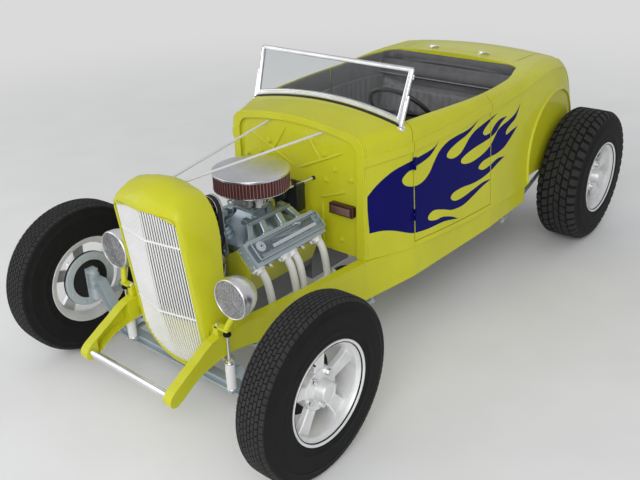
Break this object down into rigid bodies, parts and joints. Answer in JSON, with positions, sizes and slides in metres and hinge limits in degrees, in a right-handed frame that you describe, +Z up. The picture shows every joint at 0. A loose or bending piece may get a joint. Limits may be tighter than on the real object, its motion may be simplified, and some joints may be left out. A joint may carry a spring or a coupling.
{
  "type": "hot rod roadster",
  "caption": "Open hot rod roadster with an exposed engine, tall V-shaped grille, dropped front axle, opening doors and deck lid, and wheels that roll and steer.",
  "frame": {"origin": "on the ground, under the middle of the whole car", "axes": "+X is the car's left side, the front faces -Y, +Z is up"},
  "size_m": [1.6768, 3.479, 1.3642],
  "materials": {
    "body_paint": "gloss",
    "axle_paint": "gloss",
    "head_paint": "satin",
    "cover_paint": "gloss",
    "filter": "polished",
    "manifold": "satin",
    "header_white": "satin",
    "chrome": "polished",
    "steel": "brushed",
    "cast": "rough",
    "radiator_core": "matt",
    "seat_leather": "pleated",
    "wheel_alloy": "satin",
    "tyre_rubber": "matt",
    "black_plastic": "gloss",
    "red_plastic": "gloss",
    "screen_glass": "clear"
  },
  "bodies": {
    "chassis": {"frame_rail_left": "body_paint", "frame_rail_right": "body_paint", "crossmembers": "body_paint", "spreader_bar": "chrome", "front_axle": "axle_paint", "front_spring": "axle_paint", "radius_rods": "axle_paint", "headlight_left": "chrome", "headlight_right": "chrome", "shocks": "chrome", "rear_axle": "cast", "fuel_tank": "cast", "engine_block": "body_paint", "cylinder_heads": "head_paint", "valve_covers": "cover_paint", "intake_manifold": "manifold", "carburettor": "manifold", "air_cleaner": "filter", "headers_left": "header_white", "headers_right": "header_white", "exhaust_pipes": "steel", "fan_and_pulleys": "steel", "radiator": "radiator_core", "radiator_shell": "body_paint", "grille": "chrome", "radiator_rods": "chrome", "cowl": "body_paint", "ignition_box": "red_plastic", "floor": "cast", "rear_body": "body_paint", "windscreen_frame": "chrome", "windscreen_glass": "screen_glass", "steering_column": "steel", "seat_cushion": "seat_leather", "seat_back": "seat_leather", "tail_lamps": "red_plastic"},
    "door_left": {"door_left": "body_paint"},
    "door_right": {"door_right": "body_paint"},
    "decklid": {"decklid": "body_paint"},
    "steering_wheel": {"steering_wheel": "black_plastic"},
    "knuckle_left": {"knuckle_left": "cast"},
    "knuckle_right": {"knuckle_right": "cast"},
    "tie_rod": {"tie_rod": "axle_paint"},
    "front_wheel_left": {"front_wheel_left": "wheel_alloy", "front_tyre_left": "tyre_rubber"},
    "front_wheel_right": {"front_wheel_right": "wheel_alloy", "front_tyre_right": "tyre_rubber"},
    "rear_wheel_left": {"rear_wheel_left": "wheel_alloy", "rear_tyre_left": "tyre_rubber"},
    "rear_wheel_right": {"rear_wheel_right": "wheel_alloy", "rear_tyre_right": "tyre_rubber"}
  },
  "joints": [
    {"name": "steer_left", "type": "hinge", "parent": "chassis", "child": "knuckle_left", "pos_m": [0.657, -1.3565, 0.383], "axis": [0, 0, 1], "range_deg": [-28, 28]},
    {"name": "steer_right", "type": "hinge", "parent": "chassis", "child": "knuckle_right", "pos_m": [-0.657, -1.3565, 0.383], "axis": [0, 0, 1], "range_deg": [-28, 28]},
    {"name": "tie_rod_shift", "type": "slide", "parent": "chassis", "child": "tie_rod", "axis": [1, 0, 0], "range_m": [-0.069, 0.069]},
    {"name": "steering_wheel_turn", "type": "hinge", "parent": "chassis", "child": "steering_wheel", "pos_m": [0.25, -0.0265, 1.062], "axis": [0, 0.7753, 0.6316], "range_deg": [-420, 420]},
    {"name": "front_left_spin", "type": "hinge", "parent": "knuckle_left", "child": "front_wheel_left", "pos_m": [0.758, -1.3565, 0.383], "axis": [1, 0, 0], "continuous": true},
    {"name": "front_right_spin", "type": "hinge", "parent": "knuckle_right", "child": "front_wheel_right", "pos_m": [-0.758, -1.3565, 0.383], "axis": [1, 0, 0], "continuous": true},
    {"name": "rear_left_spin", "type": "hinge", "parent": "chassis", "child": "rear_wheel_left", "pos_m": [0.6975, 1.3355, 0.404], "axis": [1, 0, 0], "continuous": true},
    {"name": "rear_right_spin", "type": "hinge", "parent": "chassis", "child": "rear_wheel_right", "pos_m": [-0.6975, 1.3355, 0.404], "axis": [1, 0, 0], "continuous": true},
    {"name": "door_left_hinge", "type": "hinge", "parent": "chassis", "child": "door_left", "pos_m": [0.51425, -0.297, 0.79], "axis": [0.0541, 0, -0.9985], "range_deg": [0, 65]},
    {"name": "door_right_hinge", "type": "hinge", "parent": "chassis", "child": "door_right", "pos_m": [-0.51425, -0.297, 0.79], "axis": [0.0541, 0, 0.9985], "range_deg": [0, 65]},
    {"name": "decklid_hinge", "type": "hinge", "parent": "chassis", "child": "decklid", "pos_m": [0, 0.946, 1.17], "axis": [1, 0, 0], "range_deg": [0, 50]}
  ],
  "couplings": [
    {"joint": "steer_right", "follows": "steer_left", "ratio": 1},
    {"joint": "tie_rod_shift", "follows": "steer_left", "m_per_rad": -0.14},
    {"joint": "steering_wheel_turn", "follows": "steer_left", "ratio": 15}
  ]
}
